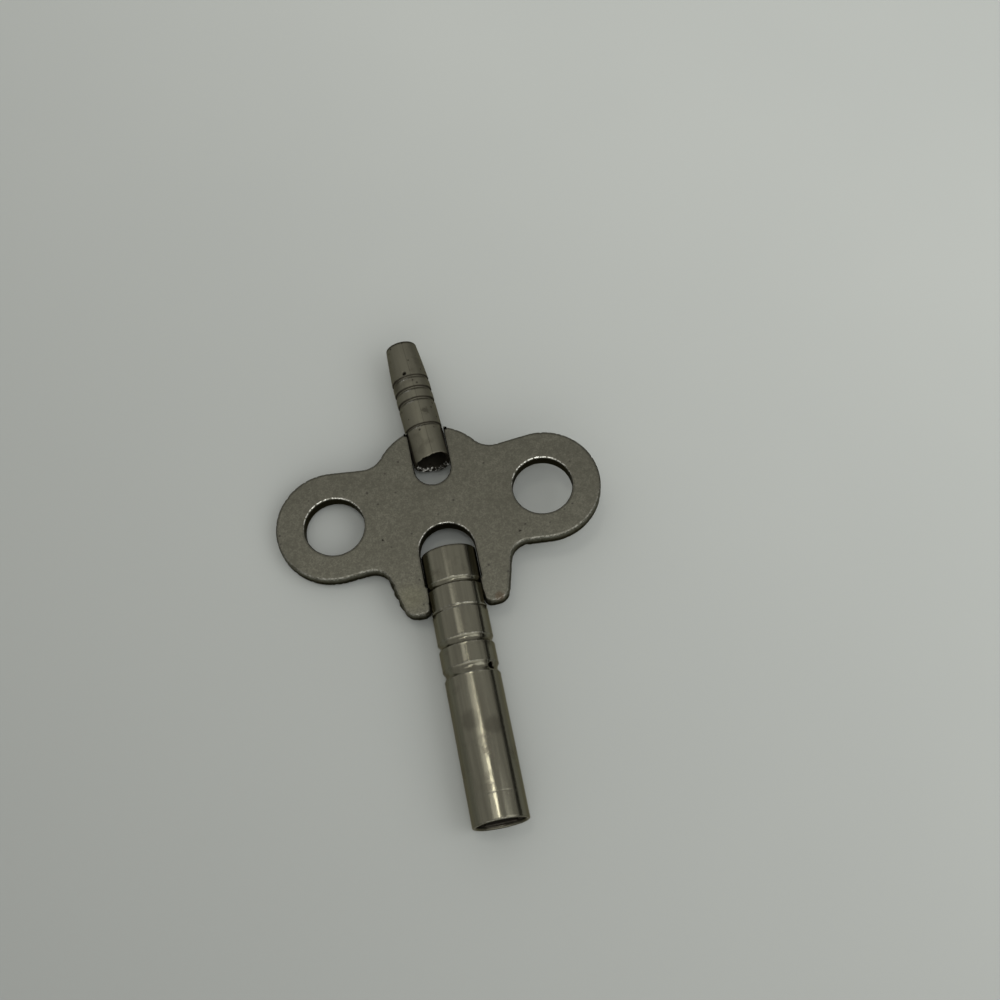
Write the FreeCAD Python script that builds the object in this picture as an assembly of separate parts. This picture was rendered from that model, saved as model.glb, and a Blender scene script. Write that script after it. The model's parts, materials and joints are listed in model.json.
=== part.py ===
# Double-ended clock winding key: a winged plate handle that grips a large
# square-bored winding barrel on one side and a small regulating barrel on the other.
#
# Frame, in millimetres: the origin is the centre of the winding socket's mouth.
# +Y runs along the winding barrel towards the small end, +X along the wings and
# +Z up, square to the plate. The plate's middle plane is Z = 0.

import FreeCAD
import Part
import math
import os

V = FreeCAD.Vector

# ---------------------------------------------------------------- wing plate
plate_thickness = 2.0
wing_line_y = 40.6              # mouth of the winding socket to the line of the finger holes
finger_hole_radius = 3.84
finger_hole_spacing = 27.0      # between the two hole centres
lobe_radius = 7.35
lobe_outset = 0.18              # lobe centre beyond the hole centre
lobe_raise = 0.2                # lobe centre above the hole line
hump_radius = 7.78
hump_rise = 3.6                 # hump centre above the hole line, towards the small end
upper_edge_slope = 0.10         # the wing's straight edges fall slightly towards the middle
lower_edge_slope = 0.08
hump_fillet = 2.9
tine_reach = 13.9               # finger hole line to the tine tips
tine_root_width = 4.92
tine_tip_width = 3.05
tine_root_fillet = 2.3
tine_tip_round = 1.85
tine_inner_round = 0.95
plate_edge_round = 0.14

# ------------------------------------------------------------ winding barrel
winding_radius = 3.5
winding_wall = 0.5
winding_inset = 6.3             # barrel's inner end, short of the finger hole line
winding_lip_round = 0.16
winding_bore_lead = 0.22        # countersink just inside the mouth
rolled_grooves = [
    # distance from the inner end, width, depth: the neck groove comes first
    (4.65, 0.8, 0.2),
    (8.0, 0.36, 0.07),
    (12.25, 1.0, 0.22),
    (15.9, 1.25, 0.24),
]
bleed_hole_radius = 0.42
bleed_hole_angle = 40.0         # up from the +X side

# ------------------------------------------------------------ winding socket
winding_square = 4.0            # across the flats
winding_square_corner = 0.3
winding_socket_recess = 0.35    # mouth to the front face of the insert
winding_stop_gap = 0.8          # back of the insert to the last rolled groove
socket_fit_gap = 0.01           # insert to sleeve, crimped tight

# ---------------------------------------------------------- regulator barrel
regulator_radius = 2.47
regulator_wall = 0.45
regulator_inset = 6.4           # barrel's inner end, past the finger hole line
regulator_length = 17.5
regulator_nose_radius = 2.05    # outside, at the tip
regulator_nose_swell = 0.31     # growth of the radius along the steeper part of the nose
regulator_nose_length = 5.3
regulator_nose_break = 3.6      # tip to the change of taper
regulator_lip_round = 0.14
regulator_lean = 4.0            # degrees out of line with the winding barrel; 0 makes it true
regulator_offset = 0.15         # sideways, at the middle of its slot
regulator_grooves = [
    # distance from the tip, width, depth
    (5.65, 0.62, 0.12),
    (7.35, 0.66, 0.15),
    (9.0, 0.66, 0.15),
]
collar_groove = (0.0, 0.56, 0.13)    # distance past the plate's edge, width, depth
regulator_hole_radius = 0.2
regulator_hole_ahead = 0.62      # from the first groove's middle towards the tip
regulator_hole_side = -0.55

# ---------------------------------------------------------- regulator socket
regulator_square = 1.95         # across the flats
regulator_square_corner = 0.12
regulator_socket_recess = 0.25
regulator_stop_gap = 0.2        # back of the insert to the first groove

# ----------------------------------------------------- seats in the two slots
tine_pinch = 0.17               # how far the tines bite in past the winding barrel's surface
slot_running_gap = 0.03         # beside the winding barrel above the neck
regulator_pinch = 0.1           # how far the small slot's edges bite past its barrel
seat_gap = 0.02                 # between a slot's edge and the flat it bears on
slot_end_gap = 3.8              # open length between the winding barrel and its slot's end
small_slot_end_gap = 3.3        # the same for the regulator barrel

# --------------------------------------------------------------- working sizes
overcut = 1.0                   # how far a cutter runs past the face it opens
edge_tolerance = 0.001          # a length below this counts as nothing
corner_reach = 0.3              # how near an edge must be to the corner asked for
rim_clearance = 0.2             # rims this close to the slots stay sharp

# sizes that follow from the ones above
wing_half = plate_thickness / 2.0
lobe_centre_x = finger_hole_spacing / 2.0 + lobe_outset
lobe_centre_y = wing_line_y + lobe_raise
hump_centre_y = wing_line_y + hump_rise
winding_length = wing_line_y - winding_inset
slot_half = winding_radius + slot_running_gap
neck_half = winding_radius - tine_pinch
neck_y = winding_length - rolled_grooves[0][0] + rolled_grooves[0][1] / 2.0
slot_top_y = winding_length + slot_end_gap
last_groove_y = winding_length - rolled_grooves[-1][0] - rolled_grooves[-1][1] / 2.0
winding_socket_back = last_groove_y - winding_stop_gap
tine_tip_y = wing_line_y - tine_reach
tine_tip_x = neck_half + tine_tip_width
tine_root_x = neck_half + tine_root_width
regulator_inner_y = wing_line_y + regulator_inset
regulator_tip_y = regulator_inner_y + regulator_length
regulator_shoulder_radius = regulator_nose_radius + regulator_nose_swell
first_groove_reach = regulator_grooves[0][0] - regulator_grooves[0][1] / 2.0
regulator_socket_back = first_groove_reach - regulator_stop_gap
small_slot_half = regulator_radius - regulator_pinch
small_slot_bottom_y = regulator_inner_y - small_slot_end_gap
nearest_slot_edge = small_slot_half - abs(regulator_offset)
plate_edge_y = hump_centre_y + math.sqrt(hump_radius ** 2 - nearest_slot_edge ** 2)
small_slot_mid_y = (regulator_inner_y + plate_edge_y) / 2.0


def prism(points, z_low, z_high):
    wire = Part.makePolygon(points + [points[0]])
    return Part.Face(wire).extrude(V(0, 0, z_high - z_low)).translated(V(0, 0, z_low))


def upright_cylinder(x, y, radius, z_low, z_high):
    return Part.makeCylinder(radius, z_high - z_low, V(x, y, z_low), V(0, 0, 1))


def block(x_low, x_high, y_low, y_high, z_low, z_high):
    corner = V(x_low, y_low, z_low)
    return Part.makeBox(x_high - x_low, y_high - y_low, z_high - z_low, corner)


def upright_edges_near(solid, x, y):
    # the edges square to the plate at (x, y) and at its mirror image (-x, y)
    found = []
    for edge in solid.Edges:
        box = edge.BoundBox
        upright = box.XLength < edge_tolerance and box.YLength < edge_tolerance
        near_x = abs(abs(box.XMin) - x) < corner_reach
        if upright and near_x and abs(box.YMin - y) < corner_reach:
            found.append(edge)
    return found


def lean_regulator(shape):
    turned = shape.copy()
    pivot = V(0, small_slot_mid_y, 0)
    turned.rotate(pivot, V(0, 0, 1), regulator_lean)
    turned.translate(V(regulator_offset, 0, 0))
    return turned


def wing_outline():
    low = -wing_half
    high = wing_half
    lobe_y = lobe_centre_y
    top_turn = math.atan(upper_edge_slope)
    low_turn = math.atan(lower_edge_slope)
    top_x = lobe_centre_x - lobe_radius * math.sin(top_turn)
    top_y = lobe_y + lobe_radius * math.cos(top_turn)
    low_x = lobe_centre_x - lobe_radius * math.sin(low_turn)
    low_y = lobe_y - lobe_radius * math.cos(low_turn)
    inner_top_y = top_y - upper_edge_slope * top_x
    inner_low_y = low_y + lower_edge_slope * low_x
    web = prism([
        V(-top_x, top_y, 0),
        V(0, inner_top_y, 0),
        V(top_x, top_y, 0),
        V(lobe_centre_x, lobe_y, 0),
        V(low_x, low_y, 0),
        V(0, inner_low_y, 0),
        V(-low_x, low_y, 0),
        V(-lobe_centre_x, lobe_y, 0),
    ], low, high)
    body = web.fuse(upright_cylinder(0, hump_centre_y, hump_radius, low, high))
    tine_root_y = low_y + lower_edge_slope * (low_x - tine_root_x)
    for side in (-1, 1):
        lobe = upright_cylinder(side * lobe_centre_x, lobe_y, lobe_radius, low, high)
        tine = prism([
            V(side * tine_root_x, tine_root_y, 0),
            V(side * tine_tip_x, tine_tip_y, 0),
            V(side * neck_half, tine_tip_y, 0),
            V(side * neck_half, wing_line_y, 0),
            V(side * tine_root_x, wing_line_y, 0),
        ], low, high)
        body = body.fuse(lobe)
        body = body.fuse(tine)
    body = body.removeSplitter()
    hump_corners = []
    for edge in body.Edges:
        box = edge.BoundBox
        upright = box.XLength < edge_tolerance and box.YLength < edge_tolerance
        if upright and box.YMin > hump_centre_y and abs(box.XMin) < hump_radius:
            hump_corners.append(edge)
    body = body.makeFillet(hump_fillet, hump_corners)
    root_corners = upright_edges_near(body, tine_root_x, tine_root_y)
    body = body.makeFillet(tine_root_fillet, root_corners)
    tip_corners = upright_edges_near(body, tine_tip_x, tine_tip_y)
    return body.makeFillet(tine_tip_round, tip_corners)


def make_wing_plate():
    low = -wing_half - overcut
    high = wing_half + overcut
    plate = wing_outline()
    slot_arc_y = slot_top_y - slot_half
    plate = plate.cut(upright_cylinder(0, slot_arc_y, slot_half, low, high))
    plate = plate.cut(block(-slot_half, slot_half, neck_y, slot_arc_y, low, high))
    plate = plate.cut(block(-neck_half, neck_half, tine_tip_y - overcut, neck_y, low, high))
    inner_corners = upright_edges_near(plate, neck_half, tine_tip_y)
    plate = plate.makeFillet(tine_inner_round, inner_corners)
    small_arc_y = small_slot_bottom_y + small_slot_half
    left = regulator_offset - small_slot_half
    right = regulator_offset + small_slot_half
    plate = plate.cut(upright_cylinder(regulator_offset, small_arc_y, small_slot_half, low, high))
    plate = plate.cut(block(left, right, small_arc_y, regulator_tip_y, low, high))
    for side in (-1, 1):
        hole_x = side * finger_hole_spacing / 2.0
        plate = plate.cut(upright_cylinder(hole_x, wing_line_y, finger_hole_radius, low, high))
    rim_edges = []
    for edge in plate.Edges:
        box = edge.BoundBox
        level = box.ZLength < edge_tolerance
        on_face = abs(abs(box.ZMin) - wing_half) < edge_tolerance
        nearest = slot_half + rim_clearance
        clear_of_slots = box.XMin > nearest or box.XMax < -nearest
        if level and on_face and clear_of_slots:
            rim_edges.append(edge)
    return plate.makeFillet(plate_edge_round, rim_edges)


def groove_arc(radius, centre, width, depth):
    # a shallow rolled groove drawn as an arc that dips below the wall line
    start = V(radius, centre - width / 2.0, 0)
    middle = V(radius - depth, centre, 0)
    end = V(radius, centre + width / 2.0, 0)
    return Part.Arc(start, middle, end).toShape()


def line(start, end):
    return Part.LineSegment(start, end).toShape()


def spin(edges):
    # turned about the Y axis, with the seam underneath, clear of the seats
    face = Part.Face(Part.Wire(Part.__sortEdges__(edges)))
    face.rotate(V(0, 0, 0), V(0, 1, 0), 90)
    return face.revolve(V(0, 0, 0), V(0, 1, 0), 360)


def grooved_wall(radius, y_start, y_end, grooves):
    # the wall line from y_start up to y_end, dipping at every (middle, width, depth)
    edges = []
    reached = y_start
    for centre, width, depth in sorted(grooves):
        edges.append(line(V(radius, reached, 0), V(radius, centre - width / 2.0, 0)))
        edges.append(groove_arc(radius, centre, width, depth))
        reached = centre + width / 2.0
    edges.append(line(V(radius, reached, 0), V(radius, y_end, 0)))
    return edges


def cut_seats(barrel, middle_x, half, y_low, y_high):
    # flats on both sides of a barrel, square to the plate, for the slot's edges to bear on
    reach = half + overcut
    left = block(middle_x - reach, middle_x - half, y_low, y_high, -reach, reach)
    right = block(middle_x + half, middle_x + reach, y_low, y_high, -reach, reach)
    return barrel.cut(left).cut(right)


def make_winding_barrel():
    outer = winding_radius
    bore = winding_radius - winding_wall
    lip = winding_lip_round
    lead = winding_bore_lead
    turn = lip * (1.0 - math.sqrt(0.5))
    grooves = []
    for distance, width, depth in rolled_grooves:
        grooves.append((winding_length - distance, width, depth))
    edges = grooved_wall(outer, lip, winding_length - lip, grooves)
    edges += grooved_wall(bore, lead, winding_length, grooves)
    edges.append(Part.Arc(V(outer, lip, 0), V(outer - turn, turn, 0), V(outer - lip, 0, 0)).toShape())
    edges.append(line(V(outer - lip, 0, 0), V(bore + lead, 0, 0)))
    edges.append(line(V(bore + lead, 0, 0), V(bore, lead, 0)))
    far_bend = V(outer - turn, winding_length - turn, 0)
    far_end = V(outer - lip, winding_length, 0)
    edges.append(Part.Arc(V(outer, winding_length - lip, 0), far_bend, far_end).toShape())
    edges.append(line(far_end, V(bore, winding_length, 0)))
    barrel = spin(edges)
    barrel = cut_seats(barrel, 0, neck_half - seat_gap, tine_tip_y - seat_gap, neck_y + seat_gap)
    turn_angle = math.radians(bleed_hole_angle)
    toward = V(math.cos(turn_angle), 0, math.sin(turn_angle))
    start = V(0, grooves[-1][0], 0) + toward * (bore - overcut)
    drill_length = winding_wall + 2.0 * overcut
    return barrel.cut(Part.makeCylinder(bleed_hole_radius, drill_length, start, toward))


def square_bore(across, corner, y_low, y_high):
    half = across / 2.0
    bore = block(-half, half, y_low, y_high, -half, half)
    long_edges = []
    for edge in bore.Edges:
        if edge.BoundBox.YLength > across:
            long_edges.append(edge)
    return bore.makeFillet(corner, long_edges)


def make_winding_socket():
    radius = winding_radius - winding_wall - socket_fit_gap
    front = winding_socket_recess
    back = winding_socket_back
    plug = Part.makeCylinder(radius, back - front, V(0, front, 0), V(0, 1, 0))
    bore = square_bore(winding_square, winding_square_corner, front - overcut, back + overcut)
    return plug.cut(bore)


def regulator_outer(distance):
    # outside radius of the small barrel's nose at a distance from its tip
    if distance < regulator_nose_break:
        rise = regulator_shoulder_radius - regulator_nose_radius
        return regulator_nose_radius + rise * distance / regulator_nose_break
    rise = regulator_radius - regulator_shoulder_radius
    run = regulator_nose_length - regulator_nose_break
    return regulator_shoulder_radius + rise * (distance - regulator_nose_break) / run


def make_regulator_barrel():
    tip = regulator_tip_y
    wall = regulator_wall
    outer = regulator_radius
    bore = regulator_radius - wall
    lip = regulator_lip_round
    grooves = []
    for distance, width, depth in regulator_grooves:
        grooves.append((tip - distance, width, depth))
    grooves.append((plate_edge_y + collar_groove[0], collar_groove[1], collar_groove[2]))
    nose_y = tip - regulator_nose_length
    break_y = tip - regulator_nose_break
    nose = regulator_nose_radius
    lip_radius = regulator_outer(lip)
    break_radius = regulator_shoulder_radius
    edges = grooved_wall(outer, regulator_inner_y, nose_y, grooves)
    edges += grooved_wall(bore, regulator_inner_y, nose_y, grooves)
    edges.append(line(V(outer, regulator_inner_y, 0), V(bore, regulator_inner_y, 0)))
    edges.append(line(V(outer, nose_y, 0), V(break_radius, break_y, 0)))
    edges.append(line(V(break_radius, break_y, 0), V(lip_radius, tip - lip, 0)))
    bend = lip * (1.0 - math.sqrt(0.5))
    edges.append(Part.Arc(V(lip_radius, tip - lip, 0), V(nose - bend, tip - bend, 0),
                          V(nose - lip, tip, 0)).toShape())
    edges.append(line(V(nose - lip, tip, 0), V(nose - wall, tip, 0)))
    edges.append(line(V(nose - wall, tip, 0), V(break_radius - wall, break_y, 0)))
    edges.append(line(V(break_radius - wall, break_y, 0), V(bore, nose_y, 0)))
    barrel = spin(edges)
    hole_y = tip - regulator_grooves[0][0] + regulator_hole_ahead
    hole_low = bore - overcut
    hole_high = outer + overcut
    hole = upright_cylinder(regulator_hole_side, hole_y, regulator_hole_radius, hole_low, hole_high)
    barrel = lean_regulator(barrel.cut(hole))
    seat_half = small_slot_half - seat_gap
    seat_low = regulator_inner_y - overcut
    return cut_seats(barrel, regulator_offset, seat_half, seat_low, plate_edge_y + seat_gap)


def make_regulator_socket():
    tip = regulator_tip_y
    wall = regulator_wall + socket_fit_gap
    front = regulator_socket_recess
    back = regulator_socket_back
    middle = regulator_nose_break
    edges = [
        line(V(0, tip - front, 0), V(regulator_outer(front) - wall, tip - front, 0)),
        line(V(regulator_outer(front) - wall, tip - front, 0),
             V(regulator_outer(middle) - wall, tip - middle, 0)),
        line(V(regulator_outer(middle) - wall, tip - middle, 0),
             V(regulator_outer(back) - wall, tip - back, 0)),
        line(V(regulator_outer(back) - wall, tip - back, 0), V(0, tip - back, 0)),
        line(V(0, tip - back, 0), V(0, tip - front, 0)),
    ]
    plug = spin(edges)
    low = tip - back - overcut
    bore = square_bore(regulator_square, regulator_square_corner, low, tip + overcut)
    return lean_regulator(plug.cut(bore))


os.makedirs("parts", exist_ok=True)
parts = {
    "wing_plate": make_wing_plate(),
    "winding_barrel": make_winding_barrel(),
    "winding_socket": make_winding_socket(),
    "regulator_barrel": make_regulator_barrel(),
    "regulator_socket": make_regulator_socket(),
}
for name in parts:
    shape = parts[name]
    shape.exportStep("parts/" + name + ".step")
    box = shape.BoundBox
    print(name, shape.isValid(), len(shape.Solids), round(shape.Volume, 2),
          [round(v, 3) for v in (box.XMin, box.XMax, box.YMin, box.YMax, box.ZMin, box.ZMax)])
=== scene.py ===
import json
import math

import bmesh
import bpy
from mathutils import Matrix, Vector, geometry, kdtree, noise


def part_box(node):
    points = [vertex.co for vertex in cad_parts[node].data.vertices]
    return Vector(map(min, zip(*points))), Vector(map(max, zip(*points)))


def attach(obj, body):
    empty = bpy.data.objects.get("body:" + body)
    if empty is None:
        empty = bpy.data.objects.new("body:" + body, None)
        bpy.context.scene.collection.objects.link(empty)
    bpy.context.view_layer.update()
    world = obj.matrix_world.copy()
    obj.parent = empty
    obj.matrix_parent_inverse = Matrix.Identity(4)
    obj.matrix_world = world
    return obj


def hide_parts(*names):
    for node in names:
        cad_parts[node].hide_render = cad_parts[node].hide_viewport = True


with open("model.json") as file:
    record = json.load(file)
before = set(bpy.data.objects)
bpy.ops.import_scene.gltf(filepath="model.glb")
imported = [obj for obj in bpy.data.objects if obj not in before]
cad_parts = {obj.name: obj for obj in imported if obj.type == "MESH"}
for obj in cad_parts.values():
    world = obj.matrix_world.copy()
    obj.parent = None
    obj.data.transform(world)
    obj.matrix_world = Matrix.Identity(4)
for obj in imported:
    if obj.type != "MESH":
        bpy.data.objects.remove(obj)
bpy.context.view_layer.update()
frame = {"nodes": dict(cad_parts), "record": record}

mm = 0.001
print("frame loaded:", sorted(frame["nodes"]))


# ---- small helpers for meshes

def nodeBoxMm(name):
    low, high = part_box(name)
    return Vector(low) / mm, Vector(high) / mm


def wobble(x, y, z, seed):
    return noise.noise(Vector((x, y, z)) + Vector((seed * 17.3, seed * 5.1, seed * 9.7)))


def bell(value, middle, width):
    return math.exp(-((value - middle) / width) ** 2)


def toUnit(value):
    return min(1.0, max(0.0, value))


def finishPiece(name, bm, nodeName, material):
    # the mesh is worked out in millimetres and handed over in metres
    bmesh.ops.recalc_face_normals(bm, faces=bm.faces[:])
    mesh = bpy.data.meshes.new(name)
    bm.to_mesh(mesh)
    bm.free()
    mesh.transform(Matrix.Scale(mm, 4))
    piece = bpy.data.objects.new(name, mesh)
    bpy.context.collection.objects.link(piece)
    mesh.shade_smooth()
    mesh.materials.append(material)
    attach(piece, "root")
    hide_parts(nodeName)
    return piece


def startMesh():
    bm = bmesh.new()
    layers = {
        "own": bm.verts.layers.float_vector.new("ownMm"),    # place before the piece is leant over
        "rim": bm.verts.layers.float.new("rim"),             # 1 on rubbed corners and on painted glints
        "paintedShade": bm.verts.layers.float.new("paintedShade"),       # painted shade, 1 down in grooves and crevices
    }
    return bm, layers


def addPoint(bm, layers, place, own, rim=0.0, paintedShade=0.0):
    vert = bm.verts.new(place)
    vert[layers["own"]] = own
    vert[layers["rim"]] = rim
    vert[layers["paintedShade"]] = paintedShade
    return vert


def joinRings(bm, ringA, ringB):
    count = len(ringA)
    for i in range(count):
        j = (i + 1) % count
        bm.faces.new((ringA[i], ringA[j], ringB[j], ringB[i]))


def joinClosed(bm, rings):
    # each ring to the next, and the last to the first
    for k in range(len(rings)):
        joinRings(bm, rings[k], rings[(k + 1) % len(rings)])


# ---- node groups that several finishes share

def newGroup(name, inputs, outputs=("Mask",)):
    # every group works on a place in space; an input without a number is one more place
    group = bpy.data.node_groups.new(name, "ShaderNodeTree")
    for label, value in {"Vector": None, **inputs}.items():
        kind = "NodeSocketVector" if value is None else "NodeSocketFloat"
        socket = group.interface.new_socket(name=label, in_out="INPUT", socket_type=kind)
        if value is not None:
            socket.default_value = value
    for label in outputs:
        group.interface.new_socket(name=label, in_out="OUTPUT", socket_type="NodeSocketFloat")
    return group, group.nodes.new("NodeGroupInput").outputs, group.nodes.new("NodeGroupOutput").inputs


def addNode(tree, kind, **settings):
    node = tree.nodes.new(kind)
    for key, value in settings.items():
        setattr(node, key, value)
    return node


def feed(tree, socket, value):
    if isinstance(value, bpy.types.NodeSocket):
        tree.links.new(value, socket)
    else:
        socket.default_value = value


def mathNode(tree, operation, *values, clamp=False):
    node = addNode(tree, "ShaderNodeMath", operation=operation, use_clamp=clamp)
    for socket, value in zip(node.inputs, values):
        feed(tree, socket, value)
    return node.outputs[0]


def addShares(tree, start, shares, clamp=False):
    # the start value plus each of the others times its share
    total = start
    for index, (value, share) in enumerate(shares):
        isLast = index == len(shares) - 1
        total = mathNode(tree, "MULTIPLY_ADD", value, share, total, clamp=clamp and isLast)
    return total


def stretchVector(tree, vector, scale, turn=0.0):
    mapping = addNode(tree, "ShaderNodeMapping")
    mapping.inputs["Scale"].default_value = scale
    mapping.inputs["Rotation"].default_value = (0, 0, turn)
    tree.links.new(vector, mapping.inputs["Vector"])
    return mapping.outputs["Vector"]


def noiseNode(tree, vector, scale, detail=4.0, roughness=0.55):
    node = addNode(tree, "ShaderNodeTexNoise")
    node.inputs["Detail"].default_value = detail
    node.inputs["Roughness"].default_value = roughness
    feed(tree, node.inputs["Vector"], vector)
    feed(tree, node.inputs["Scale"], scale)
    return node.outputs["Fac"]


def softStep(tree, value, low, high):
    node = addNode(tree, "ShaderNodeMapRange", interpolation_type="SMOOTHSTEP")
    for label, given in (("Value", value), ("From Min", low), ("From Max", high)):
        feed(tree, node.inputs[label], given)
    return node.outputs["Result"]


def makeMottledGrain():
    # cloudy patches with a fine pressed-sheet grain on top
    inputs = {"Grain Scale": 4.0, "Cloud Scale": 0.25}
    group, given, result = newGroup("mottledGrain", inputs, ("Grain", "Clouds", "Height"))
    grain = noiseNode(group, given["Vector"], given["Grain Scale"], 5.0, 0.7)
    clouds = noiseNode(group, given["Vector"], given["Cloud Scale"], 3.0, 0.5)
    height = mathNode(group, "MULTIPLY_ADD", clouds, 0.25, grain)
    group.links.new(grain, result["Grain"])
    group.links.new(clouds, result["Clouds"])
    group.links.new(height, result["Height"])
    return group


def makePinPits():
    # scattered dark pin pits in the plating
    group, given, result = newGroup("pinPits", {"Density": 0.9, "Size": 0.07, "Patchiness": 0.5})
    cells = addNode(group, "ShaderNodeTexVoronoi")
    group.links.new(given["Vector"], cells.inputs["Vector"])
    group.links.new(given["Density"], cells.inputs["Scale"])
    where = noiseNode(group, given["Vector"], 0.45, 2.0)
    keep = softStep(group, where, given["Patchiness"], 0.60)
    outer = mathNode(group, "MULTIPLY", given["Size"], keep)
    inner = mathNode(group, "MULTIPLY", outer, 0.35)
    pit = softStep(group, cells.outputs["Distance"], inner, mathNode(group, "ADD", outer, 0.0001))
    mask = mathNode(group, "SUBTRACT", 1.0, pit, clamp=True)
    group.links.new(mask, result["Mask"])
    return group


def makeHairScratches():
    # hair-fine scratches in one direction, faded in and out over the surface
    group, given, result = newGroup("hairScratches", {"Spacing": 7.0, "Threshold": 0.62})
    lines = noiseNode(group, given["Vector"], given["Spacing"], 3.0, 0.6)
    patches = noiseNode(group, given["Vector"], 0.9, 2.0)
    upper = mathNode(group, "ADD", given["Threshold"], 0.12)
    strokes = softStep(group, lines, given["Threshold"], upper)
    fade = softStep(group, patches, 0.35, 0.65)
    group.links.new(mathNode(group, "MULTIPLY", strokes, fade), result["Mask"])
    return group


def makeRubAndGlintEdges():
    # bright metal where corners are rubbed and where glints are painted, broken up so it never runs evenly
    group, given, result = newGroup("rubAndGlintEdges", {"Rim": 0.0, "Break Up": 2.5})
    broken = noiseNode(group, given["Vector"], given["Break Up"], 4.0, 0.6)
    gate = softStep(group, broken, 0.42, 0.60)
    amount = mathNode(group, "MULTIPLY", given["Rim"], gate)
    group.links.new(amount, result["Mask"])
    return group


def makeHandStains():
    # soft blotches left by handling and old polish
    group, given, result = newGroup("handStains", {"Scale": 0.35, "Start": 0.52})
    patches = noiseNode(group, given["Vector"], given["Scale"], 5.0, 0.6)
    upper = mathNode(group, "ADD", given["Start"], 0.16)
    group.links.new(softStep(group, patches, given["Start"], upper), result["Mask"])
    return group


def makeSpotStain():
    # one stain round a stated place, with an uneven border
    group, given, result = newGroup("spotStain", {"Centre": None, "Radius": 1.5})
    away = addNode(group, "ShaderNodeVectorMath", operation="DISTANCE")
    group.links.new(given["Vector"], away.inputs[0])
    group.links.new(given["Centre"], away.inputs[1])
    ragged = noiseNode(group, given["Vector"], 1.3, 4.0, 0.65)
    further = mathNode(group, "ADD", away.outputs["Value"], 0.8)
    shifted = mathNode(group, "MULTIPLY_ADD", ragged, -1.6, further)
    inner = mathNode(group, "MULTIPLY", given["Radius"], 0.35)
    fade = softStep(group, shifted, inner, given["Radius"])
    group.links.new(mathNode(group, "SUBTRACT", 1.0, fade), result["Mask"])
    return group


def makeFoldedSeam():
    # the closed joint that runs along a sleeve rolled from sheet
    group, given, result = newGroup("foldedSeam", {"Angle": 0.5, "Twist": 0.0, "Width": 0.012})
    parts = addNode(group, "ShaderNodeSeparateXYZ")
    group.links.new(given["Vector"], parts.inputs[0])
    turn = mathNode(group, "ARCTAN2", parts.outputs["X"], parts.outputs["Z"])
    twist, angle = given["Twist"], given["Angle"]
    line = mathNode(group, "MULTIPLY_ADD", parts.outputs["Y"], twist, angle)
    waver = noiseNode(group, given["Vector"], 0.6, 2.0)
    shifted = mathNode(group, "MULTIPLY_ADD", waver, 0.03, mathNode(group, "SUBTRACT", turn, line))
    distance = mathNode(group, "ABSOLUTE", mathNode(group, "SUBTRACT", shifted, 0.015))
    edge = softStep(group, distance, 0.0, given["Width"])
    group.links.new(mathNode(group, "SUBTRACT", 1.0, edge), result["Mask"])
    return group


mottledGrain = makeMottledGrain()
pinPits = makePinPits()
hairScratches = makeHairScratches()
rubAndGlintEdges = makeRubAndGlintEdges()
handStains = makeHandStains()
spotStain = makeSpotStain()
foldedSeam = makeFoldedSeam()
print("node groups made")


# ---- finishes

def useGroup(tree, group, vector, **values):
    node = addNode(tree, "ShaderNodeGroup", node_tree=group)
    feed(tree, node.inputs["Vector"], vector)
    for key, value in values.items():
        feed(tree, node.inputs[key.replace("_", " ")], value)
    return node.outputs


def useMask(tree, group, vector, **values):
    return useGroup(tree, group, vector, **values)["Mask"]


def mixColour(tree, amount, first, second):
    node = addNode(tree, "ShaderNodeMix", data_type="RGBA")
    for label, value in (("Factor", amount), ("A", first), ("B", second)):
        feed(tree, node.inputs[label], (*value, 1.0) if isinstance(value, tuple) else value)
    return node.outputs["Result"]


def layOver(tree, colour, mask, share, stain):
    # the stain's colour where the mask is, at this share of full strength
    return mixColour(tree, mathNode(tree, "MULTIPLY", mask, share), colour, stain)


def startFinish(name):
    material = bpy.data.materials.new(name)
    material.use_nodes = True
    tree = material.node_tree
    shader = tree.nodes["Principled BSDF"]
    own = addNode(tree, "ShaderNodeAttribute", attribute_name="ownMm")
    rim = addNode(tree, "ShaderNodeAttribute", attribute_name="rim")
    paintedShade = addNode(tree, "ShaderNodeAttribute", attribute_name="paintedShade")
    return material, tree, shader, own.outputs["Vector"], rim.outputs["Fac"], paintedShade.outputs["Fac"]


def addMetal(tree, shader, colour, rough, glance):
    shader.inputs["Metallic"].default_value = 1.0
    shader.inputs["Specular Tint"].default_value = glance
    feed(tree, shader.inputs["Base Color"], colour)
    feed(tree, shader.inputs["Roughness"], rough)


def addBump(tree, shader, height, strength, distanceMm):
    bump = addNode(tree, "ShaderNodeBump")
    bump.inputs["Strength"].default_value = strength
    bump.inputs["Distance"].default_value = distanceMm * mm
    tree.links.new(height, bump.inputs["Height"])
    tree.links.new(bump.outputs["Normal"], shader.inputs["Normal"])


plateLook = {
    "nickel": (0.162, 0.157, 0.126),
    "nickelDark": (0.095, 0.092, 0.073),
    "bareSteelAndGlint": (0.80, 0.79, 0.73),
    "darkSpotAndShade": (0.022, 0.020, 0.016),
    "pit": (0.05, 0.045, 0.04),
    "rust": (0.19, 0.11, 0.06),
    "verdigris": (0.27, 0.26, 0.15),
    "spots": [                  # old dark dents in the face: place, radius
        ((-8.05, 32.3, 1.0), 0.5),
        ((-7.8, 37.5, 1.0), 0.17),
        ((9.4, 35.1, 1.0), 0.2),
    ],
    "rustPlace": (5.3, 26.9, 1.0),
    "verdigrisPlace": (-5.6, 29.2, 1.0),
    "roughness": 0.44,
    "glance": (0.45, 0.44, 0.38, 1.0),      # tint of what it mirrors at a glancing angle
}


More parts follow.
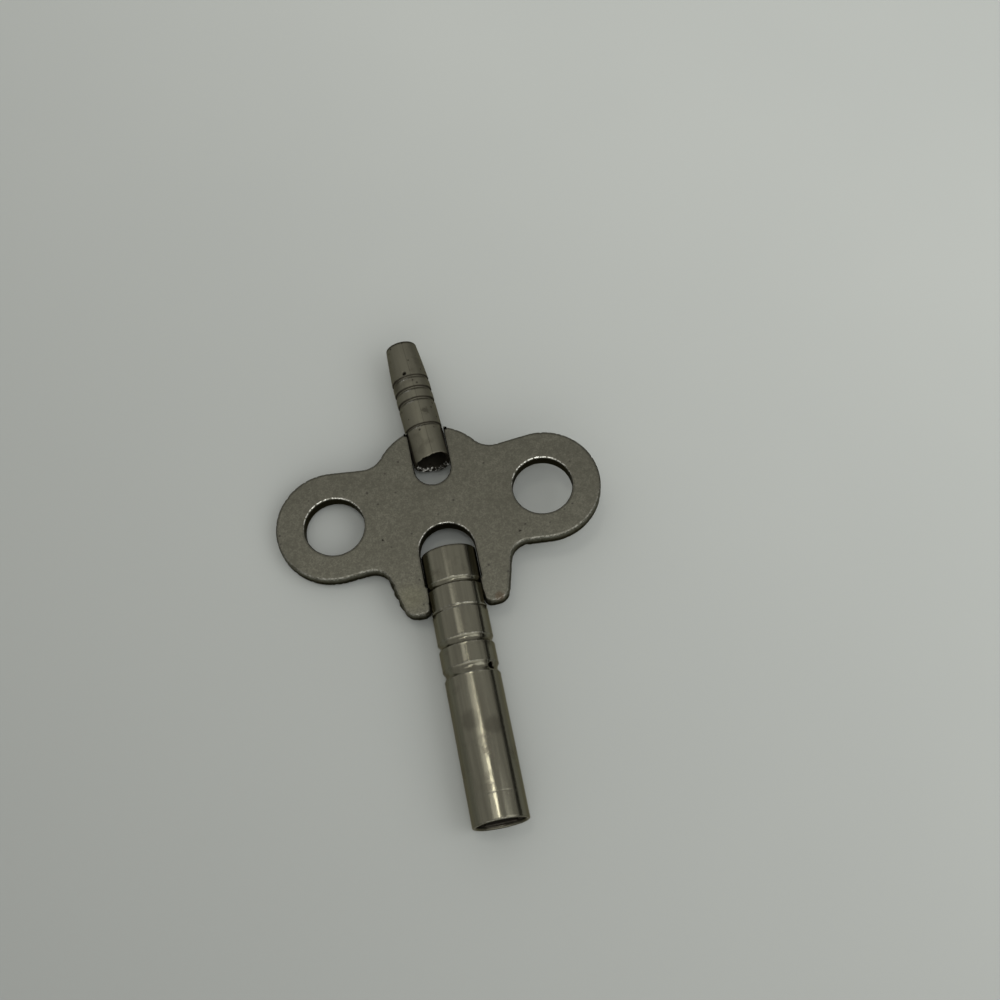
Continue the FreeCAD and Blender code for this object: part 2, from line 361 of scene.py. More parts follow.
def makePlateFinish():
    look = plateLook
    material, tree, shader, own, rim, paintedShade = startFinish("satinNickelPlate")
    grain = useGroup(tree, mottledGrain, own, Grain_Scale=1.7, Cloud_Scale=0.2)
    fineGrain = useGroup(tree, mottledGrain, own, Grain_Scale=4.2, Cloud_Scale=1.1)
    pits = useMask(tree, pinPits, own, Density=0.9, Size=0.20, Patchiness=0.46)
    across = stretchVector(tree, own, (0.06, 1.0, 1.0), 0.25)
    brush = useMask(tree, hairScratches, across, Spacing=6.0, Threshold=0.56)
    askew = stretchVector(tree, own, (0.9, 0.07, 1.0), -0.5)
    marks = useMask(tree, hairScratches, askew, Spacing=2.4, Threshold=0.68)
    rubAndGlint = useMask(tree, rubAndGlintEdges, own, Rim=rim, Break_Up=3.0)
    stains = useMask(tree, handStains, own, Scale=0.28, Start=0.5)
    rust = useMask(tree, spotStain, own, Centre=look["rustPlace"], Radius=1.0)
    green = useMask(tree, spotStain, own, Centre=look["verdigrisPlace"], Radius=2.4)

    cloudy = softStep(tree, grain["Clouds"], 0.3, 0.7)
    grainy = softStep(tree, grain["Grain"], 0.40, 0.60)
    tone = addShares(tree, 0.2, [(cloudy, 0.3), (grainy, 0.5)])
    colour = mixColour(tree, tone, look["nickelDark"], look["nickel"])
    speckle = softStep(tree, fineGrain["Grain"], 0.42, 0.58)
    colour = layOver(tree, colour, speckle, 0.55, look["nickelDark"])
    colour = layOver(tree, colour, stains, 0.25, look["nickelDark"])
    colour = layOver(tree, colour, green, 0.12, look["verdigris"])
    colour = layOver(tree, colour, rust, 0.28, look["rust"])
    for place, radius in look["spots"]:
        spot = useMask(tree, spotStain, own, Centre=place, Radius=radius)
        colour = layOver(tree, colour, spot, 0.9, look["darkSpotAndShade"])
    # painted shade on the plate's edges, walls and underside rounding
    colour = layOver(tree, colour, paintedShade, 0.97, look["darkSpotAndShade"])
    colour = mixColour(tree, rubAndGlint, colour, look["bareSteelAndGlint"])
    colour = layOver(tree, colour, pits, 0.75, look["pit"])

    rough = addShares(tree, look["roughness"] - 0.08, [
        (grain["Clouds"], 0.16),
        (speckle, 0.06),
        (rubAndGlint, -0.16),
        (rust, 0.2),
    ], clamp=True)
    addMetal(tree, shader, colour, rough, look["glance"])

    height = addShares(tree, grain["Height"], [
        (fineGrain["Grain"], 0.55),
        (brush, -0.22),
        (marks, -0.25),
        (pits, -1.1),
    ])
    addBump(tree, shader, height, 0.5, 0.03)
    return material


sleeveLook = {
    "nickel": (0.197, 0.189, 0.146),
    "nickelDark": (0.152, 0.145, 0.112),
    "bareSteelAndGlint": (0.90, 0.89, 0.84),
    "grimeAndShade": (0.028, 0.024, 0.018),
    "tarnish": (0.085, 0.076, 0.060),
    "glance": (0.66, 0.62, 0.52, 1.0),
}


def makeSleeveFinish(name, roughness, seamAngle, seamTwist, smudges, dull=0.0, pitSize=0.08):
    look = sleeveLook
    material, tree, shader, own, rim, paintedShade = startFinish(name)
    grain = useGroup(tree, mottledGrain, own, Grain_Scale=5.0, Cloud_Scale=0.35)
    lengthways = stretchVector(tree, own, (1.6, 0.07, 1.6))
    drawn = useGroup(tree, mottledGrain, lengthways, Grain_Scale=2.2, Cloud_Scale=1.2)
    around = stretchVector(tree, own, (0.10, 1.0, 0.10))
    turned = useMask(tree, hairScratches, around, Spacing=4.5, Threshold=0.66)
    pits = useMask(tree, pinPits, own, Density=1.3, Size=pitSize, Patchiness=0.42)
    rubAndGlint = useMask(tree, rubAndGlintEdges, own, Rim=rim, Break_Up=4.5)
    stains = useMask(tree, handStains, own, Scale=0.4, Start=0.53)
    seam = useMask(tree, foldedSeam, own, Angle=seamAngle, Twist=seamTwist, Width=0.014)

    tone = softStep(tree, drawn["Clouds"], 0.3, 0.7)
    colour = mixColour(tree, tone, look["nickelDark"], look["nickel"])
    colour = mixColour(tree, dull, colour, look["nickelDark"])
    colour = layOver(tree, colour, stains, 0.35, look["tarnish"])
    for place, radius, strength in smudges:
        smudge = useMask(tree, spotStain, own, Centre=place, Radius=radius)
        colour = layOver(tree, colour, smudge, strength, look["grimeAndShade"])
    # painted shade in grooves, crevices and bores
    colour = layOver(tree, colour, paintedShade, 0.88, look["grimeAndShade"])
    colour = mixColour(tree, rubAndGlint, colour, look["bareSteelAndGlint"])
    colour = layOver(tree, colour, pits, 0.8, look["grimeAndShade"])
    colour = layOver(tree, colour, seam, 0.7, look["grimeAndShade"])

    rough = addShares(tree, roughness - 0.07, [
        (drawn["Grain"], 0.14),
        (stains, 0.12),
        (rubAndGlint, -0.22),
        (paintedShade, 0.15),
    ], clamp=True)
    addMetal(tree, shader, colour, rough, look["glance"])

    height = addShares(tree, grain["Height"], [
        (drawn["Grain"], 0.7),
        (turned, -0.3),
        (pits, -1.3),
        (seam, -2.2),
    ])
    addBump(tree, shader, height, 0.35, 0.02)
    return material


boreLook = {
    "steel": (0.05, 0.046, 0.038),
    "oilAndShade": (0.020, 0.017, 0.013),
    "bright": (0.20, 0.185, 0.16),
    "roughness": 0.55,
    "glance": (0.25, 0.23, 0.19, 1.0),
}


def makeBoreFinish():
    # broached steel: score lines along the bore, dark oily patches, painted shade deeper in and painted
    # highlight on the lead edges
    look = boreLook
    material, tree, shader, own, rim, paintedShade = startFinish("broachedSteel")
    lengthways = stretchVector(tree, own, (2.0, 0.08, 2.0))
    scores = useGroup(tree, mottledGrain, lengthways, Grain_Scale=3.0, Cloud_Scale=0.8)
    grain = useGroup(tree, mottledGrain, own, Grain_Scale=6.0, Cloud_Scale=0.7)
    rubAndGlint = useMask(tree, rubAndGlintEdges, own, Rim=rim, Break_Up=3.0)
    patches = softStep(tree, grain["Clouds"], 0.35, 0.65)
    colour = mixColour(tree, patches, look["oilAndShade"], look["steel"])
    colour = layOver(tree, colour, paintedShade, 0.8, look["oilAndShade"])
    colour = layOver(tree, colour, rubAndGlint, 0.8, look["bright"])
    rough = addShares(tree, look["roughness"] - 0.1, [(scores["Grain"], 0.25)], clamp=True)
    addMetal(tree, shader, colour, rough, look["glance"])
    height = addShares(tree, grain["Height"], [(scores["Grain"], 1.2)])
    addBump(tree, shader, height, 0.5, 0.03)
    return material


plateFinish = makePlateFinish()
windingFinish = makeSleeveFinish(
    "drawnNickelSleeve", 0.17, seamAngle=0.62, seamTwist=0.0035,
    smudges=[((-1.2, 12.0, 3.3), 1.7, 0.30), ((1.4, 11.0, 3.2), 1.5, 0.35), ((2.6, 21.7, 2.3), 1.1, 0.5)],
)
regulatorFinish = makeSleeveFinish(
    "wornNickelSleeve", 0.50, seamAngle=0.12, seamTwist=0.0,
    smudges=[((0.8, 53.6, 2.4), 0.7, 0.5), ((-1.9, 58.3, 1.5), 1.1, 0.45)], dull=0.7, pitSize=0.34,
)
boreFinish = makeBoreFinish()
print("finishes made")


# ---- wing plate

plateShape = {
    "edgeInset": 0.26,          # mm, how far the rolled-over top edge reaches in
    "edgeDrop": 0.75,           # and how far it comes down the wall
    "holeInset": 0.16,
    "holeDrop": 0.22,
    "underRound": 0.12,
    "farEdgeShade": 0.85,           # painted shade along the edges on the small sleeve's side
    "slots": ((0.0, 3.6, 28.0, 39.0), (0.15, 2.5, 42.0, 51.2)),    # middle, half width, from, to
    "step": 0.12,               # spacing of points along the outline
    "sheetStep": 0.9,           # and of those inside the flat faces
    "roundRings": 5,
    "nickDepth": 0.07,
    "roughTineDepth": 0.12,     # the left tine's outer edge is the most knocked about
    "roughTine": ((-9.5, 28.2), (-5.2, 33.0)),
    "burr": 0.45,               # the ragged flange hammered out along it
}


def outlineLoops(node):
    # where the plate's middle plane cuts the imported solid, as closed loops of points in mm
    bm = bmesh.new()
    bm.from_mesh(frame["nodes"][node].data)
    everything = bm.verts[:] + bm.edges[:] + bm.faces[:]
    cut = bmesh.ops.bisect_plane(bm, geom=everything, plane_co=(0, 0, 0), plane_no=(0, 0, 1), dist=1e-8)
    neighbours = {}
    places = {}
    for edge in cut["geom_cut"]:
        if not isinstance(edge, bmesh.types.BMEdge):
            continue
        keys = []
        for vert in edge.verts:
            key = (round(vert.co.x * 1e7), round(vert.co.y * 1e7))
            places[key] = Vector((vert.co.x, vert.co.y)) / mm
            keys.append(key)
        if keys[0] != keys[1]:
            neighbours.setdefault(keys[0], set()).add(keys[1])
            neighbours.setdefault(keys[1], set()).add(keys[0])
    bm.free()
    loops = []
    left = set(neighbours)
    while left:
        start = min(left)
        loop = [start]
        left.discard(start)
        here = start
        while True:
            onward = [key for key in neighbours[here] if key in left]
            if not onward:
                break
            here = onward[0]
            left.discard(here)
            loop.append(here)
        loops.append([places[key] for key in loop])
    return loops


def evenLoop(points, step):
    # the same loop with evenly spaced points, running anticlockwise
    area = 0.0
    count = len(points)
    for i in range(count):
        a, b = points[i], points[(i + 1) % count]
        area += a.x * b.y - b.x * a.y
    if area < 0:
        points = points[::-1]
    lengths = [0.0]
    for i in range(count):
        lengths.append(lengths[-1] + (points[(i + 1) % count] - points[i]).length)
    total = lengths[-1]
    steps = max(24, int(total / step))
    spaced = []
    segment = 0
    for k in range(steps):
        target = total * k / steps
        while lengths[segment + 1] < target:
            segment += 1
        a, b = points[segment], points[(segment + 1) % count]
        span = max(lengths[segment + 1] - lengths[segment], 1e-9)
        spaced.append(a.lerp(b, (target - lengths[segment]) / span))
    return spaced, abs(area) / 2.0


def loopNormals(points):
    normals = []
    count = len(points)
    for i in range(count):
        along = points[(i + 1) % count] - points[i - 1]
        along.normalize()
        normals.append(Vector((along.y, -along.x)))
    smooth = []
    for i in range(count):
        total = normals[i - 1] + normals[i] * 2.0 + normals[(i + 1) % count]
        smooth.append(total.normalized())
    return smooth


def cornerRoom(points):
    # 1 along plain edges, falling at sharp corners so that the rings never cross there
    rooms = []
    count = len(points)
    for i in range(count):
        before = points[i] - points[i - 2]
        after = points[(i + 2) % count] - points[i]
        turn = math.degrees(abs(before.angle_signed(after)))
        rooms.append(1.0 - 0.85 * toUnit((turn - 30.0) / 40.0))
    return rooms


def slotShare(point):
    # 1 along the two open slots, whose edges are crisper than the outside
    share = 0.0
    for middle, half, low, high in plateShape["slots"]:
        across = 1.0 - toUnit((abs(point.x - middle) - half) / 0.3)
        along = toUnit((point.y - low) / 0.5) * toUnit((high - point.y) / 0.5)
        share = max(share, across * along)
    return share


def edgeProfile(stage, share, slot, facing, half):
    # (inset, height, rim, painted shade) of one ring, from the top face round the edge to the underside
    shape = plateShape
    inset0 = shape["edgeInset"] + (shape["holeInset"] - shape["edgeInset"]) * slot
    drop0 = shape["edgeDrop"] + (shape["holeDrop"] - shape["edgeDrop"]) * slot
    under = shape["underRound"]
    wallTop = half - drop0
    near = max(0.0, facing)
    far = toUnit(0.5 - facing)
    if stage == "sheet":
        return inset0 + 0.2, half, 0.0, 0.0
    # painted shade on the face beside the far edges
    if stage == "face":
        return inset0 + 0.04, half, 0.0, shape["farEdgeShade"] * far * 0.7
    if stage == "round":
        turn = math.pi / 2.0 * share
        # painted highlight and rub on the rounded edge, strongest where it faces the big sleeve's mouth
        # and round holes and slots
        rim = bell(share, 0.35, 0.3) * (0.03 + (0.27 + 1.3 * slot) * near)
        # painted shade creeping round the edge, most on the far side
        paintedShade = 0.1 * share + shape["farEdgeShade"] * far * min(1.0, share * 4.0)
        return inset0 * (1.0 - math.sin(turn)), half - drop0 * (1.0 - math.cos(turn)), rim, paintedShade
    # painted shade on the wall, darker towards the bottom and on the far side
    if stage == "wall":
        dark = toUnit((share - 0.1) / 0.35)
        unshaded = min(0.7 * (1.0 - slot), 1.0 - shape["farEdgeShade"] * far)
        grimeAndShade = 1.0 - unshaded * (1.0 - dark)
        return 0.0, wallTop - (wallTop + half - under) * share, 0.0, grimeAndShade
    # painted shade all round the underside rounding
    if stage == "under":
        turn = math.pi / 2.0 * share
        return under * (1.0 - math.cos(turn)), -half + under * (1.0 - math.sin(turn)), 0.0, 1.0
    return under + 0.2, -half, 0.0, 0.0


def insideBox(point, corners):
    low, high = corners
    return low[0] < point.x < high[0] and low[1] < point.y < high[1]


def insideLoop(x, y, loop):
    inside = False
    for a, b in zip(loop, loop[1:] + loop[:1]):
        if (a.y > y) != (b.y > y) and x < a.x + (b.x - a.x) * (y - a.y) / (b.y - a.y):
            inside = not inside
    return inside


def fillSheet(bm, layers, border, spans, height, step):
    # a flat face with holes: the ring points stay, and a loose grid of points goes between them
    flat = [Vector((vert.co.x, vert.co.y)) for vert in border]
    tree = kdtree.KDTree(len(flat))
    for index, point in enumerate(flat):
        tree.insert((point.x, point.y, 0), index)
    tree.balance()
    lowX, highX = min(p.x for p in flat), max(p.x for p in flat)
    lowY, highY = min(p.y for p in flat), max(p.y for p in flat)
    rings = [list(range(start, start + count)) for start, count in spans]
    holes = [[flat[index] for index in ring] for ring in rings[1:]]
    spots = list(flat)
    for i in range(int((highX - lowX) / step) + 1):
        for j in range(int((highY - lowY) / step) + 1):
            x = lowX + (i + 0.5 * (j % 2)) * step
            y = lowY + j * step
            if tree.find((x, y, 0))[2] > step * 0.6 and not any(insideLoop(x, y, hole) for hole in holes):
                spots.append(Vector((x, y)))
    edges = [(ring[i], ring[(i + 1) % len(ring)]) for ring in rings for i in range(len(ring))]
    made = geometry.delaunay_2d_cdt(spots, edges, [], 2, 1e-6)
    verts = {}
    holeOf = {}
    for index, origins in enumerate(made[3]):
        for origin in origins:
            if origin < len(border):
                verts[index] = border[origin]
                owner = [k for k, ring in enumerate(rings) if ring[0] <= origin <= ring[-1]]
                holeOf[index] = owner[0] if owner else 0
    for corners in made[2]:
        owners = {holeOf.get(index, 0) for index in corners}
        if len(owners) == 1 and owners != {0}:
            continue
        ring = []
        for index in corners:
            if index not in verts:
                x, y = made[0][index]
                verts[index] = addPoint(bm, layers, (x, y, height), (x, y, height))
            ring.append(verts[index])
        bm.faces.new(ring if height > 0 else ring[::-1])


def edgeWear(stage, point, height, half, slot, outer):
    # (how deep the edge is nicked here, how far the hammered flange stands out), in mm
    shape = plateShape
    nick = max(0.0, wobble(point.x * 2.4, point.y * 2.4, height * 0.8, 3) - 0.15)
    fine = 0.4 + 0.6 * wobble(point.x * 5.0, point.y * 5.0, height * 3.0, 8)
    depth = shape["nickDepth"] * (1.0 - 0.65 * slot)
    burr = 0.0
    if outer and insideBox(point, shape["roughTine"]):
        depth = shape["roughTineDepth"]
        nick += 0.35 * abs(wobble(point.x * 4.0, point.y * 4.0, height, 5))
        ragged = 0.6 + 0.9 * wobble(point.x * 1.1, point.y * 1.1, 0.0, 31)
        low, high = shape["roughTine"]
        ends = min(1.0, (point.y - low[1]) / 1.5, (high[1] - point.y) / 1.5)
        spread = max(0.0, -height / half) if stage in ("wall", "under") else 0.0
        burr = shape["burr"] * max(0.0, ragged) * max(0.0, ends) * spread
    if stage == "base":
        depth = 0.0
    return max(0.0, depth * min(1.4, nick * 2.2 + 0.12 * fine)), burr


def makeWingPlate():
    shape = plateShape
    half = nodeBoxMm("wing_plate")[1].z
    bm, layers = startMesh()
    loops = [evenLoop(points, shape["step"]) for points in outlineLoops("wing_plate")]
    loops.sort(key=lambda item: -item[1])
    sheets = {1.0: ([], []), -1.0: ([], [])}       # top and underside: points with their ring spans
    for index, (points, area) in enumerate(loops):
        outer = index == 0
        side = 1.0 if outer else -1.0        # from the wall out of the metal
        normals = loopNormals(points)
        rooms = cornerRoom(points)
        slots = [slotShare(point) if outer else 1.0 for point in points]
        rings = shape["roundRings"]
        stages = [("sheet", 0.0), ("face", 0.0)]
        stages += [("round", k / rings) for k in range(rings + 1)]
        stages += [("wall", share) for share in (0.1, 0.25, 0.45, 0.65, 0.85)]
        stages += [("under", k / 3.0) for k in range(4)]
        stages += [("base", 0.0)]
        ringVerts = []
        for stage, share in stages:
            ring = []
            for point, normal, room, slot in zip(points, normals, rooms, slots):
                facing = -normal.y * side        # +1 where the wall looks towards the big sleeve's mouth
                inset, height, rim, paintedShade = edgeProfile(stage, share, slot, facing, half)
                bite, burr = edgeWear(stage, point, height, half, slot, outer)
                paintedShade -= 0.6 * min(1.0, burr / 0.2)     # the flange is freshly bared
                place = point - normal * side * (inset * room + bite - burr)
                spot = (place.x, place.y, height)
                ring.append(addPoint(bm, layers, spot, spot, rim, paintedShade))
            ringVerts.append(ring)
        for k in range(len(ringVerts) - 1):
            if outer:
                joinRings(bm, ringVerts[k], ringVerts[k + 1])
            else:
                joinRings(bm, ringVerts[k + 1], ringVerts[k])
        for verts, up in ((ringVerts[0], 1.0), (ringVerts[-1], -1.0)):
            border, spans = sheets[up]
            spans.append((len(border), len(verts)))
            border.extend(verts)
    for up, (border, spans) in sheets.items():
        fillSheet(bm, layers, border, spans, half * up, shape["sheetStep"])
    return finishPiece("wingPlate", bm, "wing_plate", plateFinish)


makeWingPlate()
print("wing plate made")


# ---- sleeves

windingShape = {
    "radius": 3.49,             # mm; rolled lips rise to the full 3.5
    "wall": 0.5,
    "lipRound": 0.17,
    "seatHalf": 3.31,
    "seat": (26.68, 30.07),
    "grooves": [                # middle, width, depth, lip height
        (29.65, 0.85, 0.21, 0.0),
        (26.3, 0.42, 0.07, 0.0),
        (22.05, 1.05, 0.23, 0.01),
        (18.4, 1.3, 0.25, 0.01),
        (3.2, 0.16, 0.012, 0.0),    # a faint scored ring near the mouth
    ],
    "bleed": (18.4, 40.0, 0.45),     # along, degrees up from the +X side, radius
}

regulatorShape = {
    "radius": 2.465,
    "wall": 0.45,
    "lipRound": 0.15,
    "seatHalf": 2.35,
    "nose": [(64.5, 2.05), (63.0, 2.19), (61.9, 2.28), (60.9, 2.35), (59.9, 2.42), (59.2, 2.465)],
    "grooves": [
        (58.85, 0.62, 0.15, 0.0),
        (57.15, 0.66, 0.19, 0.0),
        (55.5, 0.66, 0.19, 0.0),
        (51.66, 0.5, 0.16, 0.0),
    ],
    "bleed": (59.47, 102.5, 0.22),
    "skew": 0.8,                # the grooves' far walls are the steeper ones
    "tornBevel": 0.28,          # mm, how far the torn lip slopes inwards
    "tornReach": 1.6,           # and how far along the sleeve the tearing is felt
    "creviceSide": 2.12,        # half the width left without painted shade between the slot's walls
    "insertLength": 4.89,
    "lean": 4.0,
    "offset": 0.15,
}


grooveShadeAndRub = {
    "floorShade": 0.16,          # painted shade on the floor of a groove that is at least fullShadeDepth deep
    "fullShadeDepth": 0.12,          # mm
    "shoulderShade": 0.4,        # painted shade in a line along both shoulders
    "shoulderRub": 0.15,
    "farWallShade": 1.9,         # painted shade against the steeper wall of a skewed groove
}


def grooveDip(y, grooves, skew=0.0):
    # (change of radius, painted shade, rub and painted glint) at this place along a sleeve
    shadeAndRub = grooveShadeAndRub
    change, paintedShade, rim = 0.0, 0.0, 0.0
    for middle, width, depth, lip in grooves:
        away = abs(y - middle)
        half = width / 2.0
        if away < half:
            share = 1.0 - (away / half) ** 2
            along = (y - middle) / half
            change -= depth * share ** 1.2 * (1.0 + skew * along)
            paintedShade = max(paintedShade, shadeAndRub["floorShade"] * share * min(1.0, depth / shadeAndRub["fullShadeDepth"]))
        change += lip * bell(away, half + 0.02, 0.09)
        line = bell(away, half - 0.03, 0.07) * min(1.0, depth / 0.05)
        farWall = bell(y, middle + 0.75 * half, 0.085)
        nearWall = bell(y, middle - 0.55 * half, 0.11)
        lineShade = shadeAndRub["shoulderShade"] * line * (1.0 - 0.8 * skew)
        paintedShade = max(paintedShade, lineShade, min(1.0, shadeAndRub["farWallShade"] * skew * farWall))
        # rubbed shoulders on plain grooves; on skewed grooves a painted glint along the near wall
        rim = max(rim, shadeAndRub["shoulderRub"] * line * (1.0 - skew), skew * nearWall)
    return change, paintedShade, rim


def alongStations(start, end, grooves, coarse, fine):
    stations = [start]
    y = start
    while y < end - 1e-6:
        near = any(abs(y - middle) < width / 2.0 + 0.35 for middle, width, depth, lip in grooves)
        y = min(end, y + (fine if near else coarse))
        stations.append(y)
    return stations


def spinSleeve(bm, layers, profile, steps, place):
    # profile points are (y, radius, rim, painted shade, inner); place turns them into positions
    rings = []
    for y, radius, rim, paintedShade, inner in profile:
        ring = []
        for k in range(steps):
            turn = 2.0 * math.pi * k / steps
            spot, own = place(y, radius, turn, inner)
            ring.append(addPoint(bm, layers, spot, own, rim, paintedShade))
        rings.append(ring)
    joinClosed(bm, rings)


def pierceWall(bm, layers, centre, outward, radius, depth):
    # a small drilled hole: the wall's faces go, the edge is drawn round, and a throat goes in
    doomed = []
    for vert in bm.verts:
        gap = vert.co - centre
        sideways = gap - outward * gap.dot(outward)
        if sideways.length < radius and abs(gap.dot(outward)) < 0.35:
            doomed.append(vert)
    bmesh.ops.delete(bm, geom=doomed, context="VERTS")
    border = []
    for edge in bm.edges:
        if not edge.is_boundary:
            continue
        middle = (edge.verts[0].co + edge.verts[1].co) / 2.0 - centre
        if middle.length < radius * 3.0:
            border.append(edge)
    ring = set()
    for edge in border:
        ring.update(edge.verts)
    for vert in ring:
        gap = vert.co - centre
        rise = outward * gap.dot(outward)
        sideways = gap - rise
        vert.co = centre + rise + sideways.normalized() * radius
        # painted shade round the hole's edge
        vert[layers["paintedShade"]] = 1.0
    throat = bmesh.ops.extrude_edge_only(bm, edges=border)
    for item in throat["geom"]:
        if isinstance(item, bmesh.types.BMVert):
            item.co -= outward * depth
            # painted shade down the throat
            item[layers["paintedShade"]] = 1.0
            item[layers["rim"]] = 0.0


def drillBleed(bm, layers, bleed, surface, depth, transform):
    # surface is how far from the sleeve's middle line the hole is centred
    along, rise, radius = bleed
    outward = Vector((math.cos(math.radians(rise)), 0, math.sin(math.radians(rise))))
    start = Vector((0, along, 0)) + outward * surface
    centre = Vector(transform(*start))
    lead = (Vector(transform(*(start + outward))) - centre).normalized()
    pierceWall(bm, layers, centre, lead, radius, depth)


def lipRings(y, radius, bore, rounding, direction, paintedShade, grimeAndShade=0.0):
    # rounded outer corner, flat face and small lead into the bore, for one end of a sleeve
    rings = []
    for k in range(1, 6):
        turn = math.pi / 2.0 * k / 5
        rings.append((
            y - direction * rounding * (1.0 - math.sin(turn)),
            radius - rounding * (1.0 - math.cos(turn)),
            0.12 * math.sin(math.pi * k / 5), grimeAndShade, False,
        ))
    lead = 0.16
    # the rounded corner takes grimeAndShade; the lead takes painted shade, deepening into the bore
    rings.append((y, bore + lead, 0.05, 0.2 + 0.8 * grimeAndShade, True))
    rings.append((y - direction * lead * 0.5, bore + lead * 0.4, 0.0, 0.4, True))
    rings.append((y - direction * lead, bore, 0.0, paintedShade, True))
    return rings


def straight(x, y, z):
    return (x, y, z)


def makeWindingSleeve():
    shape = windingShape
    end = nodeBoxMm("winding_barrel")[1].y
    radius = shape["radius"]
    bore = radius - shape["wall"]
    rounding = shape["lipRound"]
    profile = []
    for y in reversed(alongStations(rounding, end - rounding, shape["grooves"], 0.16, 0.045)):
        change, paintedShade, rim = grooveDip(y, shape["grooves"])
        paintedShade = max(paintedShade, 0.9 * bell(y, end - 0.13, 0.10))      # a dark line round the inner end
        profile.append((y, radius + change, rim, paintedShade, False))
    profile += lipRings(0.0, radius, bore, rounding, -1.0, 0.9, 0.35)
    for y in alongStations(0.4, end - 0.4, shape["grooves"], 0.8, 0.12):
        change, paintedShade, rim = grooveDip(y, shape["grooves"])
        # painted shade down the whole bore
        profile.append((y, bore + change, 0.0, 0.9, True))
    profile += reversed(lipRings(end, radius, bore, rounding, 1.0, 0.6, 0.9))

    def place(y, r, turn, inner):
        dent = 0.012 * wobble(math.sin(turn) * 1.5, y * 0.18, math.cos(turn) * 1.5, 2)
        reach = r - 0.012 + dent
        x = reach * math.sin(turn)
        z = reach * math.cos(turn)
        if shape["seat"][0] < y < shape["seat"][1] and not inner:
            x = max(-shape["seatHalf"], min(shape["seatHalf"], x))
        return (x, y, z), (x, y, z)

    bm, layers = startMesh()
    spinSleeve(bm, layers, profile, 288, place)
    drillBleed(bm, layers, shape["bleed"], radius - 0.22, 0.3, straight)
    return finishPiece("windingSleeve", bm, "winding_barrel", windingFinish)


def leanPlacer():
    # the small sleeve stands a few degrees out of line, turned about the middle of its slot
    shape = regulatorShape
    lean = math.radians(shape["lean"])
    mounts = {mount["name"]: mount for mount in frame["record"]["mounts"]}
    mouthX = mounts["regulator_socket"]["pos_m"][0] / mm
    pivotY = shape["nose"][0][0] - (shape["offset"] - mouthX) / math.sin(lean)

    def lean3d(x, y, z):
        dy = y - pivotY
        return (
            shape["offset"] + x * math.cos(lean) - dy * math.sin(lean),
            pivotY + x * math.sin(lean) + dy * math.cos(lean),
            z,
        )

    print("small sleeve turns about y =", round(pivotY, 3))
    return lean3d


def noseRadius(y):
    points = regulatorShape["nose"]
    for (farY, farR), (nearY, nearR) in zip(points, points[1:]):
        if nearY <= y <= farY:
            share = (y - nearY) / (farY - nearY)
            return nearR + (farR - nearR) * share
    return points[-1][1]


